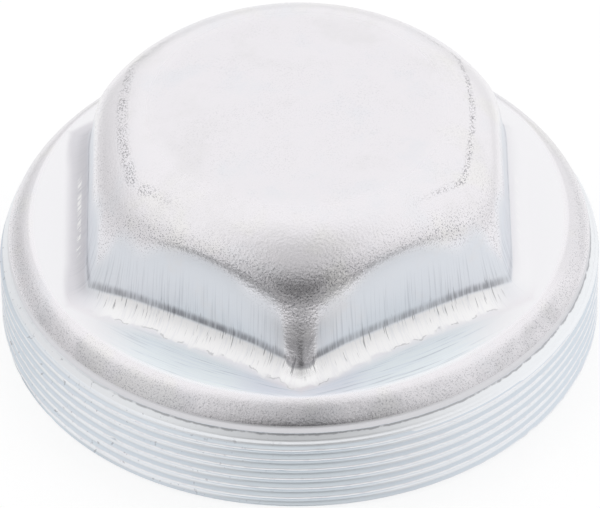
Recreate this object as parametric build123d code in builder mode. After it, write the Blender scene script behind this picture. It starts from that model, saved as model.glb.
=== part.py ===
from build123d import *
from math import ceil, cos, radians, tan
import os

# Hub grease cap, drawn from one piece of steel: a threaded skirt, a turned neck, a shoulder and ledge,
# and a hexagon for the wrench that is cut down by a dome. The rim stands on z = 0.

# Threaded skirt, in millimetres
thread_diameter = 96.0
thread_height = 13.2
thread_lead_chamfer = 1.0

# Right-hand thread groove, whose lowest turn starts over +X at a height below the rim
thread_pitch = 2.0
thread_depth = 0.8
thread_crest_width = 0.3
thread_root_width = 0.78
groove_start = -1.8
groove_overlap = 0.2

# Neck where the thread runs out under the shoulder
neck_depth = 1.4
runout_height = 1.85
neck_height = 1.8

# Shoulder and ledge, the slope in degrees
shoulder_width = 3.2
shoulder_height = 2.9
shoulder_radius = 5.0
ledge_slope = 6.0

# Hexagon, measured at the height of the ledge's outer edge, the draft in degrees
across_flats = 67.5
hexagon_sides = 6
flat_draft = 4.0
flat_edge_radius = 5.0
base_fillet_radius = 4.2

# Dome that cuts the hexagon down, the angle in degrees
corner_trim = 0.9
cone_angle = 14.5
dome_edge_radius = 15.0
crown_radius = 120.0
overall_height = 44.5

# Hollow inside
wall = 4.0
inner_shoulder_radius = 2.0
inner_flat_edge_radius = 1.5
mouth_radius = 5.0

# Places worked out from the driving dimensions
thread_radius = thread_diameter / 2
bore_radius = thread_radius - wall
groove_spread = (thread_pitch - thread_crest_width - thread_root_width) / thread_depth
groove_mouth = thread_root_width + groove_spread * (thread_depth + groove_overlap)
neck_foot = (thread_radius - neck_depth, thread_height + runout_height)
shoulder_foot = (neck_foot[0], neck_foot[1] + neck_height)
ledge_edge = (shoulder_foot[0] - shoulder_width, shoulder_foot[1] + shoulder_height)
ledge_rise = tan(radians(ledge_slope))
groove_turns = ceil((neck_foot[1] + groove_mouth / 2 - groove_start) / thread_pitch)
inner_ledge_height = ledge_edge[1] - wall / cos(radians(ledge_slope))
inner_apothem = (
    across_flats / 2
    + (ledge_edge[1] - inner_ledge_height) * tan(radians(flat_draft))
    - wall / cos(radians(flat_draft))
)


def dome_hexagon(base, apothem, inset, flat_edge):
    """A drafted hexagon standing at a height, cut down by the dome with its crown moved in by the inset."""
    top = overall_height - inset
    foot_radius = apothem / cos(radians(180 / hexagon_sides)) - corner_trim
    head_radius = foot_radius - (top - base) * tan(radians(cone_angle))
    with BuildPart() as form:
        with BuildSketch(Plane.XY.offset(base)):
            RegularPolygon(apothem, hexagon_sides, major_radius=False, rotation=180 / hexagon_sides)
        extrude(amount=top - base, taper=flat_draft)
        with BuildSketch(Plane.YZ) as dome_section:
            with BuildLine():
                Polyline((0, base), (foot_radius, base), (head_radius, top), (0, top), close=True)
            make_face()
            with Locations((0, overall_height - crown_radius)):
                Circle(crown_radius - inset, mode=Mode.INTERSECT)
            dome_corner = dome_section.vertices().sort_by(Axis.Y)[-2]
            fillet(dome_corner, dome_edge_radius - inset)
        revolve(axis=Axis.Z, mode=Mode.INTERSECT)
        flats = form.faces().filter_by(GeomType.PLANE).sort_by(Axis.Z)[1:]
        fillet(flats.edges().group_by(Axis.Z)[1:], flat_edge)
    return form.part


# The hollow: a plain bore under the ledge and the hexagon's inside above it
with BuildPart() as hollow:
    with BuildSketch(Plane.YZ) as bore_section:
        with BuildLine():
            bore_top = inner_ledge_height + (ledge_edge[0] - bore_radius) * ledge_rise
            bore_middle = inner_ledge_height + ledge_edge[0] * ledge_rise
            Polyline((0, 0), (bore_radius, 0), (bore_radius, bore_top), (0, bore_middle), close=True)
        make_face()
        bore_corner = bore_section.vertices().group_by(Axis.X)[-1].sort_by(Axis.Y)[-1]
        fillet(bore_corner, inner_shoulder_radius)
    revolve(axis=Axis.Z)
    add(dome_hexagon(inner_ledge_height, inner_apothem, wall, inner_flat_edge_radius))
    fillet(hollow.edges(Select.NEW), mouth_radius)

# One turn of the thread's groove, on a helix that starts over +X
with BuildPart() as groove_turn:
    with BuildLine() as groove_path:
        Helix(thread_pitch, thread_pitch, thread_radius)
    with BuildSketch(Plane(groove_path.line @ 0, x_dir=(1, 0, 0), z_dir=groove_path.line % 0)):
        with BuildLine():
            Polyline(
                (groove_overlap, groove_mouth / 2),
                (-thread_depth, thread_root_width / 2),
                (-thread_depth, -thread_root_width / 2),
                (groove_overlap, -groove_mouth / 2),
                close=True,
            )
        make_face()
    sweep(is_frenet=True)

# The cap: skirt, neck, shoulder and ledge turned about the axis, the thread cut turn by turn, then the hexagon,
# then the hollow taken out
with BuildPart() as grease_cap:
    with BuildSketch(Plane.YZ):
        with BuildLine():
            skirt = Polyline(
                (0, ledge_edge[1] + ledge_edge[0] * ledge_rise),
                (0, 0),
                (thread_radius - thread_lead_chamfer, 0),
                (thread_radius, thread_lead_chamfer),
                (thread_radius, thread_height),
                neck_foot,
                shoulder_foot,
            )
            RadiusArc(shoulder_foot, ledge_edge, -shoulder_radius)
            Line(ledge_edge, skirt @ 0)
        make_face()
    revolve(axis=Axis.Z)
    for turn in range(groove_turns):
        with Locations((0, 0, groove_start + turn * thread_pitch)):
            add(groove_turn.part, mode=Mode.SUBTRACT)
    add(dome_hexagon(ledge_edge[1], across_flats / 2, 0, flat_edge_radius))
    fillet(grease_cap.edges(Select.NEW), base_fillet_radius)
    add(hollow.part, mode=Mode.SUBTRACT)

os.makedirs("parts", exist_ok=True)
grease_cap.part.label = "grease_cap"
export_step(grease_cap.part, "parts/grease_cap.step")
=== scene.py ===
"""Hub grease cap in zinc-plated steel: one drawn shell with a turned thread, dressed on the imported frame."""

import logging
import math
from dataclasses import dataclass
from enum import Enum
from functools import cached_property

import bmesh
import bpy
import numpy as np
from mathutils import Matrix, Vector


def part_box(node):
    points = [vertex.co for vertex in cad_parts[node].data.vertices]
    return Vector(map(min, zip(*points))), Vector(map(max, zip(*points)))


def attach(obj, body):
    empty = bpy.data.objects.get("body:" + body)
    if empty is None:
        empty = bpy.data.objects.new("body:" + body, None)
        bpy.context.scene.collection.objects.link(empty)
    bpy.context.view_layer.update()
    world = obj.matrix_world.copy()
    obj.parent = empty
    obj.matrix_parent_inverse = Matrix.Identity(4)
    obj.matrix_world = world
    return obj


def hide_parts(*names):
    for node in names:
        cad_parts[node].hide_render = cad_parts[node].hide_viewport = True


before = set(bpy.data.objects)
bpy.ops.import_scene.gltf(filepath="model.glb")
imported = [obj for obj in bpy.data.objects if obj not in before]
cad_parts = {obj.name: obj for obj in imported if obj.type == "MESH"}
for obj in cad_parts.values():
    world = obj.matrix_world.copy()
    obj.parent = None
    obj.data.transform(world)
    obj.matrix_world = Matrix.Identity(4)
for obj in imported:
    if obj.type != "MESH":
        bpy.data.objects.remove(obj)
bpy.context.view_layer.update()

MM = 0.001
NODE = "grease_cap"
log = logging.getLogger("grease_cap")

Socket = bpy.types.NodeSocket
Value = Socket | float
Colour = tuple[float, float, float]
Scale = tuple[float, float, float]


class Skin(Enum):
    """The ways in which the steel was worked, each a material slot of the shell."""

    DRAWN = 0
    TURNED = 1
    HOLLOW = 2


class Mask(Enum):
    """What the shell carries for its finishes, one value for each vertex: shares from 0 to 1, and ways in
    millimetres outside the ring of cracks, below the top of the foot fillet and outside the ledge's edge."""

    GRAIN = "grain"
    FLAT = "flat"
    RING = "ring"
    DROP = "drop"
    EDGE = "edge"
    GROOVE = "groove"


Masks = dict[Mask, np.ndarray]
Stretch = tuple[Skin, np.ndarray, Masks]

# What a mask of millimetres holds on the stretches that it has no say on
FAR = -20.0


def smooth_step(value: np.ndarray, low: float, high: float) -> np.ndarray:
    """A ramp from 0 at low to 1 at high that starts and ends level: 3 t squared less 2 t cubed.

    Args:
        value: The values to ramp.
        low: Where the ramp starts.
        high: Where the ramp ends.

    Returns:
        The ramp at each value.
    """
    t = np.clip((value - low) / (high - low), 0.0, 1.0)
    return t * t * (3.0 - 2.0 * t)


def soft_min(a: np.ndarray, b: np.ndarray, width: float) -> np.ndarray:
    """The smaller of a and b less a quarter width times h squared, where h falls from 1 to 0 over the width.

    Args:
        a: First values.
        b: Second values.
        width: The difference of a and b over which they blend.

    Returns:
        The blended values.
    """
    h = np.maximum(width - np.abs(a - b), 0.0) / width
    return np.minimum(a, b) - 0.25 * width * h * h


def ring(theta: np.ndarray, radius: np.ndarray | float, height: np.ndarray | float) -> np.ndarray:
    """Points round the axis: radius times cosine, radius times sine, height."""
    radius, height, theta = np.broadcast_arrays(radius, height, theta)
    return np.stack([radius * np.cos(theta), radius * np.sin(theta), height], -1)


def arc_between(start: tuple[float, float], end: tuple[float, float], radius: float, rows: int) -> np.ndarray:
    """A bulging arc in the plane of radius and height, centred off the chord's middle towards the axis.

    Args:
        start: Radius and height of the first point.
        end: Radius and height of the last point.
        radius: The arc's radius.
        rows: How many points.

    Returns:
        An array of rows by 2 with radius and height.
    """
    a, b = np.array(start), np.array(end)
    chord = b - a
    side = np.array([chord[1], -chord[0]]) / np.linalg.norm(chord)
    centre = (a + b) / 2 + side * math.sqrt(radius**2 - chord @ chord / 4)
    first, last = (math.atan2(*(p - centre)[::-1]) for p in (a, b))
    angle = np.linspace(first, last, rows)
    return centre + radius * np.stack([np.cos(angle), np.sin(angle)], -1)


def eased(rows: np.ndarray, passes: int = 6) -> np.ndarray:
    """Rows of points with their corners eased: each row moves half of the way to the middle of the rows
    before and after it, some times over, while both ends stay.

    Args:
        rows: The rows, along the first axis.
        passes: How many times.

    Returns:
        The eased rows.
    """
    rows = rows.copy()
    for _ in range(passes):
        rows[1:-1] = (rows[:-2] + 2.0 * rows[1:-1] + rows[2:]) / 4.0
    return rows


def way_along(points: np.ndarray) -> np.ndarray:
    """How far each row lies from the first along its column: the steps between rows, added up."""
    steps = np.linalg.norm(np.diff(points, axis=0), axis=-1)
    return np.concatenate([np.zeros_like(steps[:1]), steps.cumsum(0)])


def grid_mesh(name: str, points: np.ndarray, skins: np.ndarray) -> bpy.types.Mesh:
    """A smooth mesh of four-sided faces between the neighbours on a grid of points.

    Args:
        name: The mesh's name.
        points: Rows by columns by 3, in millimetres.
        skins: Material slot of the faces that end at each row after the first.

    Returns:
        The mesh, with one vertex for each point in the grid's order.
    """
    rows, columns = points.shape[:2]
    index = np.arange(rows * columns).reshape(rows, columns)
    quads = np.stack([index[:-1, :-1], index[1:, :-1], index[1:, 1:], index[:-1, 1:]], -1).reshape(-1, 4)
    mesh = bpy.data.meshes.new(name)
    mesh.vertices.add(rows * columns)
    mesh.vertices.foreach_set("co", (points * MM).ravel())
    mesh.loops.add(quads.size)
    mesh.loops.foreach_set("vertex_index", quads.ravel())
    mesh.polygons.add(len(quads))
    mesh.polygons.foreach_set("loop_start", np.arange(len(quads)) * 4)
    mesh.polygons.foreach_set("material_index", np.repeat(skins, columns - 1))
    mesh.polygons.foreach_set("use_smooth", np.ones(len(quads), bool))
    mesh.update(calc_edges=True)
    return mesh


def weld(mesh: bpy.types.Mesh, distance: float) -> None:
    """Closes a mesh's seams and poles.

    Args:
        mesh: The mesh to weld.
        distance: How far apart two vertices that become one may lie, in metres.
    """
    shape = bmesh.new()
    shape.from_mesh(mesh)
    bmesh.ops.remove_doubles(shape, verts=shape.verts, dist=distance)
    bmesh.ops.dissolve_degenerate(shape, edges=shape.edges, dist=distance)
    shape.to_mesh(mesh)
    shape.free()


@dataclass
class Boss:
    """The hexagon with draft that is cut down by a dome, seen from outside or from inside the hollow.

    Sizes are millimetres and angles radians. The arches' feet are shares of half a flat, and the front corner
    is a span of the sine of the angle towards the front.
    """

    apothem: float
    base: float
    crown_centre: float
    crown_radius: float
    edge_radius: float
    foot_fillet: float
    ledge_edge: tuple[float, float]
    ledge_slope: float
    corner_trim: float = 0.9
    sides: int = 6
    draft: float = math.radians(4.0)
    cone_angle: float = math.radians(14.5)
    blend: float = 2.6
    flare_height: float = 9.7
    flare_growth: float = 0.03
    ring_radius: float = 27.7
    arch_shift: float = 1.3
    arch_shift_aside: float = 2.08
    arch_feet: tuple[float, float] = (0.5, 0.87)
    flat_edge: tuple[float, float] = (-0.6, 1.2)
    front_corner: tuple[float, float] = (0.8, 0.95)
    corner_edge: tuple[float, float] = (1.8, 3.2)
    grain_start: tuple[float, float] = (20.0, 29.0)
    tilt_step: float = 0.5
    fillet_passes: int = 3
    crown_rows: int = 14
    edge_rows: int = 30
    wall_rows: int = 36
    fillet_rows: int = 14

    def __post_init__(self) -> None:
        """Finds the edge arc, which touches both the cone and the crown's sphere."""
        along = np.array([-math.sin(self.cone_angle), math.cos(self.cone_angle)])
        across = np.array([math.cos(self.cone_angle), math.sin(self.cone_angle)])
        self.foot_radius = self.apothem / math.cos(math.pi / self.sides) - self.corner_trim
        start = np.array([self.foot_radius, self.base]) - self.edge_radius * across
        offset = start - np.array([0.0, self.crown_centre])
        reach = self.crown_radius - self.edge_radius
        half = offset @ along
        run = -half + math.sqrt(half * half - offset @ offset + reach * reach)
        self.edge_centre = start + run * along
        self.edge_end = self.base + run * along[1]
        self.crown_angle = math.atan2(self.edge_centre[0], self.edge_centre[1] - self.crown_centre)

    def cone(self, height: np.ndarray) -> np.ndarray:
        """The foot's radius less the rise by the cone's slope, plus a flare by the square of the way down."""
        flare = self.flare_growth * np.maximum(self.base + self.flare_height - height, 0.0) ** 2
        return self.foot_radius - (height - self.base) * math.tan(self.cone_angle) + flare

    def hexagon(self, theta: np.ndarray, height: np.ndarray) -> np.ndarray:
        """The flats' distance from the axis: the drafted apothem over the cosine of the angle off a flat.

        Args:
            theta: Angles round the axis.
            height: Heights of the points.

        Returns:
            The distance at each point.
        """
        step = 2.0 * math.pi / self.sides
        off = (theta + step / 2) % step - step / 2
        return (self.apothem - (height - self.base) * math.tan(self.draft)) / np.cos(off)

    def ledge(self, radius: np.ndarray) -> np.ndarray:
        """The ledge's height: that of its outer edge plus the way in times the slope."""
        return self.ledge_edge[1] + (self.ledge_edge[0] - radius) * math.tan(self.ledge_slope)

    def dome(self) -> tuple[np.ndarray, np.ndarray]:
        """The dome's section from the axis out: an arc of the crown's sphere, then the edge arc to the cone.

        Returns:
            Radius and height of each row.
        """
        crown = np.linspace(0.0, self.crown_angle, self.crown_rows)
        edge = np.linspace(self.crown_angle, math.pi / 2 - self.cone_angle, self.edge_rows)[1:]
        radius = [self.crown_radius * np.sin(crown), self.edge_centre[0] + self.edge_radius * np.sin(edge)]
        height = [
            self.crown_centre + self.crown_radius * np.cos(crown),
            self.edge_centre[1] + self.edge_radius * np.cos(edge),
        ]
        section = np.stack([np.concatenate(radius), np.concatenate(height)], -1)
        joint = self.crown_rows // 2
        section[joint:] = eased(section[joint:])
        return section[:, 0], section[:, 1]

    def wall(self, theta: np.ndarray, height: np.ndarray) -> np.ndarray:
        """The wall under the dome's edge: the soft minimum of the cone and the hexagon."""
        return soft_min(self.cone(height), self.hexagon(theta, height), self.blend)

    def fillet(self, theta: np.ndarray) -> tuple[np.ndarray, np.ndarray]:
        """The concave foot that a ball leaves as it rolls along wall and ledge: its centre's track less the
        ball's radius times the normal, which turns from the wall's to the ledge's.

        Args:
            theta: Angles round the axis, one turn with both ends.

        Returns:
            The height where the fillet leaves the wall, and its rows of points.
        """
        ball = self.foot_fillet
        leave = self.ledge(self.wall(theta, self.base)) + ball
        for _ in range(self.fillet_passes):
            contour = ring(theta, self.wall(theta, leave), 0.0)[:, :2]
            lower = ring(theta, self.wall(theta, leave - self.tilt_step), 0.0)[:, :2]
            run = np.roll(contour[:-1], -1, 0) - np.roll(contour[:-1], 1, 0)
            run = np.concatenate([run, run[:1]])
            out = np.stack([run[:, 1], -run[:, 0]], -1) / np.linalg.norm(run, axis=1)[:, None]
            tilt = np.arctan2(((lower - contour) * out).sum(-1), self.tilt_step)
            centre = contour + out * (ball * np.cos(tilt))[:, None]
            middle = self.ledge(np.linalg.norm(centre, axis=1)) + ball / math.cos(self.ledge_slope)
            leave = middle - ball * np.sin(tilt)
        turn = np.linspace(0.0, 1.0, self.fillet_rows)[:, None]
        angle = tilt + turn * (math.pi / 2 - self.ledge_slope - tilt)
        flat = centre - out * (ball * np.cos(angle))[..., None]
        return leave, np.concatenate([flat, (middle - ball * np.sin(angle))[..., None]], -1)

    def flat_share(self, theta: np.ndarray, round_radius: np.ndarray, hexagon: np.ndarray) -> np.ndarray:
        """Where the wall is flat: a ramp of the way by which the round form stands outside the hexagon. It is
        shifted towards the corners, so that the arches' feet spread, and leaves the front corner bare.

        Args:
            theta: Angles round the axis.
            round_radius: Radius of the dome and cone at each point.
            hexagon: The flats' distance from the axis at each point.

        Returns:
            The share at each point.
        """
        half = math.pi / self.sides
        off = np.abs((theta + half) % (2.0 * half) - half)
        front = smooth_step(-np.sin(theta), *self.front_corner)
        spread = self.arch_shift_aside + (self.arch_shift - self.arch_shift_aside) * front
        shift = spread * smooth_step(off / half, *self.arch_feet)
        flat = smooth_step(round_radius - hexagon + shift, *self.flat_edge)
        bare = smooth_step((half - off) * round_radius, *self.corner_edge)
        return flat * (1.0 - (1.0 - bare) * front)

    def surface(self, theta: np.ndarray) -> tuple[np.ndarray, Masks]:
        """The whole boss, from the middle of its crown to the end of its foot fillet, as rows round the axis.

        Args:
            theta: Angles round the axis, one turn with both ends.

        Returns:
            The points, rows by columns by 3, and the masks over them.
        """
        dome_radius, dome_height = (a[:, None] for a in self.dome())
        leave, foot = self.fillet(theta)
        down = np.linspace(0.0, 1.0, self.wall_rows)[1:, None]
        wall_height = self.edge_end + down * (leave - self.edge_end)
        height = np.concatenate([dome_height + 0.0 * theta, wall_height])
        round_radius = np.concatenate([dome_radius + 0.0 * theta, self.cone(wall_height)])
        hexagon = self.hexagon(theta, height)
        body = ring(theta, soft_min(round_radius, hexagon, self.blend), height)
        points = np.concatenate([body, foot[1:]])
        rest = np.zeros(foot[1:].shape[:2])
        turn = np.linspace(0.0, 1.0, self.fillet_rows)[1:, None] + rest
        flat = self.flat_share(theta, round_radius, hexagon)
        grain = (1.0 - flat) * smooth_step(round_radius, *self.grain_start)
        ring_radius = self.ring_radius * (1.0 + self.hexagon(theta, self.base) / self.apothem) / 2
        section = way_along(points)
        masks = {
            Mask.FLAT: np.concatenate([flat, flat[-1] * (1.0 - turn)]),
            Mask.GRAIN: np.concatenate([grain, grain[-1] * (1.0 - turn)]),
            Mask.RING: np.concatenate([round_radius - ring_radius, rest - FAR]),
            Mask.DROP: section - section[len(body) - 1],
        }
        return points, masks


@dataclass
class ScrewThread:
    """The right-hand thread turned on the skirt, with its lead chamfer and its run-out into the neck.

    Sizes are millimetres. Crest and root are shares of the pitch, crest_rows shares of half a crest, and the
    eases shares of the depth.
    """

    radius: float
    height: float
    neck_radius: float
    neck_foot: float
    chamfer: float = 1.0
    pitch: float = 2.0
    depth: float = 0.7
    crest_share: float = 0.15
    root_share: float = 0.39
    crest_height: float = 6.7
    crest_rows: tuple[float, float] = (0.7, 1.6)
    crest_ease: float = 0.16
    root_ease: float = 0.24
    nick_count: int = 90
    nick_seed: int = 11
    nick_foot: float = 0.5
    nick_reach: float = 0.5
    nick_width: tuple[float, float] = (0.25, 0.8)
    nick_depth: tuple[float, float] = (0.05, 0.28)

    def phases(self) -> np.ndarray:
        """Where the rows run, counted up from the middle of a crest and closer at its corners.

        Returns:
            Shares of a pitch.
        """
        crest, root = self.crest_share / 2, 0.5 - self.root_share / 2
        before, after = (share * crest for share in self.crest_rows)
        half = [0.0, before, crest, after, (crest + root) / 2, root, 0.5]
        return np.array(half + [1.0 - p for p in half[-2:0:-1]])

    def turns(self, theta: np.ndarray) -> np.ndarray:
        """Turns round the axis, counted from the front."""
        return (theta + math.pi / 2) / (2.0 * math.pi)

    def groove(self, theta: np.ndarray, height: np.ndarray) -> np.ndarray:
        """The groove's depth as a share: 0 on the crest, 1 on the root, and the flank's straight line
        between, with its two corners eased. The crest climbs one pitch in a turn.

        Args:
            theta: Angles round the axis.
            height: Heights of the points.

        Returns:
            The share at each point.
        """
        share = ((height - self.crest_height) / self.pitch - self.turns(theta)) % 1.0
        away = np.minimum(share, 1.0 - share)
        line = (away - self.crest_share / 2) / (0.5 - self.root_share / 2 - self.crest_share / 2)
        full = np.ones_like(line)
        return 1.0 - soft_min(1.0 - soft_min(line, full, self.root_ease), full, self.crest_ease)

    def envelope(self, height: np.ndarray) -> np.ndarray:
        """The thread's blank: full radius, with a lead chamfer below and a slope to the neck above.

        Args:
            height: Heights of the points.

        Returns:
            The blank's radius at each height.
        """
        slope = (self.radius - self.neck_radius) / (self.neck_foot - self.height)
        above = np.maximum(height - self.height, 0.0) * slope
        below = np.maximum(self.chamfer - height, 0.0)
        return self.radius - above - below

    def nicks(self, theta: np.ndarray, height: np.ndarray) -> np.ndarray:
        """Small dents in the crests: bell curves of drawn place, size and depth, added up.

        Args:
            theta: Angles round the axis.
            height: Heights of the points.

        Returns:
            The depth of the dents at each point.
        """
        draw = np.random.default_rng(self.nick_seed)
        dent = np.zeros_like(height)
        for _ in range(self.nick_count):
            place = draw.uniform(-math.pi, math.pi)
            level = draw.uniform(self.nick_foot, self.height)
            width = draw.uniform(*self.nick_width)
            away = (theta - place + math.pi) % (2.0 * math.pi) - math.pi
            bell = np.exp(-((away * self.radius / width) ** 2) - ((height - level) / self.nick_reach) ** 2)
            dent += draw.uniform(*self.nick_depth) * bell
        return dent

    def surface(self, theta: np.ndarray) -> tuple[np.ndarray, Masks]:
        """The thread from the neck's foot down to the rim. Each row follows the helix, so that a row ends one
        turn later where the row one pitch above began. Rows past either end are held at that end.

        Args:
            theta: Angles round the axis, one turn with both ends.

        Returns:
            The points, rows by columns by 3, and the masks over them.
        """
        turns = np.arange(-2, math.ceil(self.neck_foot / self.pitch) + 2)
        starts = (turns[:, None] + self.phases()).ravel()[::-1] * self.pitch
        level = starts[:, None] + self.crest_height % self.pitch + self.pitch * self.turns(theta)
        height = np.clip(level, 0.0, self.neck_foot)
        share = self.groove(theta, height)
        radius = np.minimum(self.envelope(height), self.radius - self.depth * share)
        radius = radius - self.nicks(theta, height) * (1.0 - share)
        return ring(theta, radius, height), {Mask.GROOVE: np.where(height > self.height, 1.0, share)}


@dataclass
class GreaseCap:
    """The cap's shell: boss, ledge, shoulder, neck, thread, rim and the hollow under them.

    Sizes are millimetres. The ledge's grain and the rim's rows are shares of the way across, and the lay's
    radius is a share of the thread's.
    """

    overall_height: float
    thread_radius: float
    columns: int = 360
    wall: float = 4.0
    across_flats: float = 67.5
    crown_radius: float = 120.0
    dome_edge_radius: float = 15.0
    foot_fillet: float = 4.2
    mouth_radius: float = 5.0
    ledge_slope: float = math.radians(6.0)
    thread_height: float = 13.2
    neck_depth: float = 1.4
    runout_height: float = 1.85
    neck_height: float = 1.3
    shoulder_width: float = 3.2
    shoulder_height: float = 3.4
    shoulder_radius: float = 9.0
    inner_shoulder_radius: float = 2.0
    ledge_rows: int = 10
    ledge_grain: tuple[float, float] = (0.75, 1.0)
    shoulder_rows: int = 12
    neck_rows: int = 7
    neck_groove: float = 0.3
    rim_rows: tuple[float, ...] = (0.0, 0.05, 0.5, 0.95)
    bore_foot: float = 0.4
    bore_corner_rows: int = 6
    inner_ledge_rows: int = 5
    lay_share: float = 0.8
    weld_distance: float = 0.002

    def __post_init__(self) -> None:
        """Works out the places that follow from the driving sizes."""
        self.theta = math.pi / 2 + np.linspace(0.0, 2.0 * math.pi, self.columns + 1)
        self.neck_radius = self.thread_radius - self.neck_depth
        self.neck_foot = self.thread_height + self.runout_height
        self.shoulder_foot = (self.neck_radius, self.neck_foot + self.neck_height)
        self.ledge_edge = (
            self.shoulder_foot[0] - self.shoulder_width,
            self.shoulder_foot[1] + self.shoulder_height,
        )
        self.bore_radius = self.thread_radius - self.wall
        self.crown_centre = self.overall_height - self.crown_radius

    def outer_boss(self) -> Boss:
        """The boss as seen from outside, from the cap's own sizes."""
        return Boss(
            apothem=self.across_flats / 2,
            base=self.ledge_edge[1],
            crown_centre=self.crown_centre,
            crown_radius=self.crown_radius,
            edge_radius=self.dome_edge_radius,
            foot_fillet=self.foot_fillet,
            ledge_edge=self.ledge_edge,
            ledge_slope=self.ledge_slope,
        )

    def inner_boss(self) -> Boss:
        """The boss as seen from the hollow: the outer one moved in by the wall along each surface's normal.

        Returns:
            The inner boss, with fewer rows and no flare.
        """
        outer = self.outer_boss()
        drop = self.wall / math.cos(self.ledge_slope)
        base = self.ledge_edge[1] - drop
        return Boss(
            apothem=outer.apothem + drop * math.tan(outer.draft) - self.wall / math.cos(outer.draft),
            base=base,
            crown_centre=self.crown_centre,
            crown_radius=self.crown_radius - self.wall,
            edge_radius=self.dome_edge_radius - self.wall,
            foot_fillet=self.mouth_radius,
            ledge_edge=(self.ledge_edge[0], base),
            ledge_slope=self.ledge_slope,
            blend=1.6,
            flare_growth=0.0,
            crown_rows=6,
            edge_rows=12,
            wall_rows=14,
            fillet_rows=7,
        )

    def ledge(self, boss: Boss, start: np.ndarray, edge: float, rows: int) -> np.ndarray:
        """The ledge between the fillet's end and a circle: straight lines between the two, laid on the
        ledge's cone, with what the fillet's end lies off the cone fading out along them.

        Args:
            boss: The boss whose ledge it is.
            start: The fillet's last row.
            edge: Radius of the circle.
            rows: How many rows follow the first.

        Returns:
            The rows of points after the first.
        """
        way = np.linspace(0.0, 1.0, rows + 1)[1:, None]
        end = ring(self.theta, edge, 0.0)
        flat = start[None, :, :2] * (1.0 - way[..., None]) + end[None, :, :2] * way[..., None]
        miss = start[:, 2] - boss.ledge(np.linalg.norm(start[:, :2], axis=1))
        height = boss.ledge(np.linalg.norm(flat, axis=-1)) + miss * (1.0 - way)
        return np.concatenate([flat, height[..., None]], -1)

    def outside(self) -> list[Stretch]:
        """The outside, from the crown to the rim, with the corners of ledge, shoulder and neck eased.

        Returns:
            Stretches with their skin, points and masks.
        """
        theta, boss = self.theta, self.outer_boss()
        dome, dome_masks = boss.surface(theta)
        ledge = self.ledge(boss, dome[-1], self.ledge_edge[0], self.ledge_rows)
        arc = arc_between(self.ledge_edge, self.shoulder_foot, self.shoulder_radius, self.shoulder_rows)[1:]
        shoulder = ring(theta, arc[:, :1], arc[:, 1:])
        shoulder_way = np.linalg.norm(arc - np.array(self.ledge_edge), axis=1)[:, None]
        across = np.linspace(0.0, 1.0, self.ledge_rows)[:, None] + 0.0 * theta
        ledge_drop = dome_masks[Mask.DROP][-1] + np.linalg.norm(ledge - dome[-1], axis=-1)
        ledge_masks = {
            Mask.GRAIN: smooth_step(across, *self.ledge_grain),
            Mask.DROP: ledge_drop,
            Mask.EDGE: np.linalg.norm(ledge[..., :2], axis=-1) - self.ledge_edge[0],
        }
        level = np.ones(shoulder.shape[:2])
        shoulder_masks = {
            Mask.GRAIN: level,
            Mask.DROP: ledge_drop[-1] + shoulder_way,
            Mask.EDGE: level * shoulder_way,
        }
        screw = ScrewThread(self.thread_radius, self.thread_height, self.neck_radius, self.neck_foot)
        thread, thread_masks = screw.surface(theta)
        neck_height = np.linspace(self.shoulder_foot[1], self.neck_foot, self.neck_rows)
        neck = ring(theta, self.neck_radius, neck_height[:, None])
        ends = np.cumsum([len(ledge), len(shoulder)])
        ledge, shoulder, neck = np.split(eased(np.concatenate([ledge, shoulder, neck])), ends)
        return [
            (Skin.DRAWN, dome, dome_masks),
            (Skin.DRAWN, ledge, ledge_masks),
            (Skin.DRAWN, shoulder, shoulder_masks),
            (Skin.TURNED, neck, {Mask.GROOVE: np.full(neck.shape[:2], self.neck_groove)}),
            (Skin.TURNED, thread, thread_masks),
        ]

    def inside(self, rim: np.ndarray) -> list[Stretch]:
        """The rim and the hollow, from the thread's end to the underside of the crown.

        Args:
            rim: The thread's last row, which the rim starts from.

        Returns:
            Stretches with their skin, points and masks.
        """
        theta, boss = self.theta, self.inner_boss()
        dome, masks = boss.surface(theta)
        inner = self.bore_radius - self.inner_shoulder_radius
        top = float(boss.ledge(np.array(inner)))
        rim_radius = np.linalg.norm(rim[:, :2], axis=1)
        rim_way = np.array(self.rim_rows)[:, None]
        rim_face = ring(theta, rim_radius * (1.0 - rim_way) + self.bore_radius * rim_way, 0.0)
        bore_height = np.array([0.0, self.bore_foot, top / 2, top - self.inner_shoulder_radius])
        bore = ring(theta, self.bore_radius, bore_height[:, None])
        turn = np.linspace(0.0, math.pi / 2, self.bore_corner_rows)[1:, None]
        corner = ring(
            theta,
            inner + self.inner_shoulder_radius * np.cos(turn),
            top - self.inner_shoulder_radius * (1.0 - np.sin(turn)),
        )
        ledge = self.ledge(boss, dome[-1], inner, self.inner_ledge_rows)[-2::-1]
        return [
            (Skin.TURNED, rim_face, {}),
            (Skin.HOLLOW, bore, {}),
            (Skin.HOLLOW, corner, {}),
            (Skin.HOLLOW, ledge, {}),
            (Skin.HOLLOW, dome[::-1], {m: v[::-1] for m, v in masks.items()}),
        ]

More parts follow.
